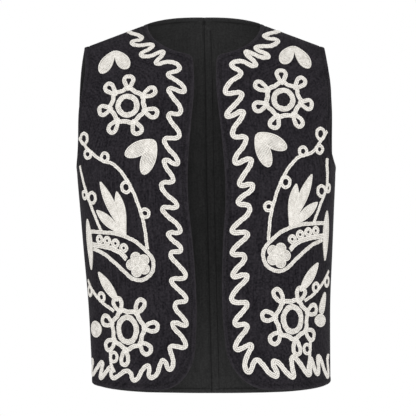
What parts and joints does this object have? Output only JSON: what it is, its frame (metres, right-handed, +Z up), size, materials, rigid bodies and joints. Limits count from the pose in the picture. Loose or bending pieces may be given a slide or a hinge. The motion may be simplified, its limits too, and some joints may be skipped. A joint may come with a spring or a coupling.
{
  "type": "embroidered folk vest, in its worn shape",
  "caption": "Sleeveless open-front folk vest in black cotton with ivory corded embroidery on both fronts, hollow as it is worn.",
  "frame": {"origin": "midway between the neck points of the two shoulder seams, where the garment hangs on its wearer", "axes": "+Z up, +X towards the wearer's left, -Y towards the front"},
  "size_m": [0.414, 0.2432, 0.6151],
  "materials": {
    "black_cotton": "washed matt black cotton twill",
    "ivory_thread": "soft ivory cotton thread, worked in rows"
  },
  "bodies": {
    "root": {"front_left": "black_cotton", "front_right": "black_cotton", "back_left": "black_cotton", "back_right": "black_cotton", "border_wave_left": "ivory_thread", "border_wave_right": "ivory_thread", "shoulder_heart_left": "ivory_thread", "shoulder_heart_right": "ivory_thread", "bust_heart_left": "ivory_thread", "bust_heart_right": "ivory_thread", "chest_rosette_ring_left": "ivory_thread", "chest_rosette_ring_right": "ivory_thread", "chest_rosette_loops_left": "ivory_thread", "chest_rosette_loops_right": "ivory_thread", "paisley_left": "ivory_thread", "paisley_right": "ivory_thread", "paisley_flower_left": "ivory_thread", "paisley_flower_right": "ivory_thread", "side_leaf_left": "ivory_thread", "side_leaf_right": "ivory_thread", "waist_rosette_ring_left": "ivory_thread", "waist_rosette_ring_right": "ivory_thread", "waist_rosette_loops_left": "ivory_thread", "waist_rosette_loops_right": "ivory_thread", "hip_drop_left": "ivory_thread", "hip_drop_right": "ivory_thread"}
  },
  "joints": []
}
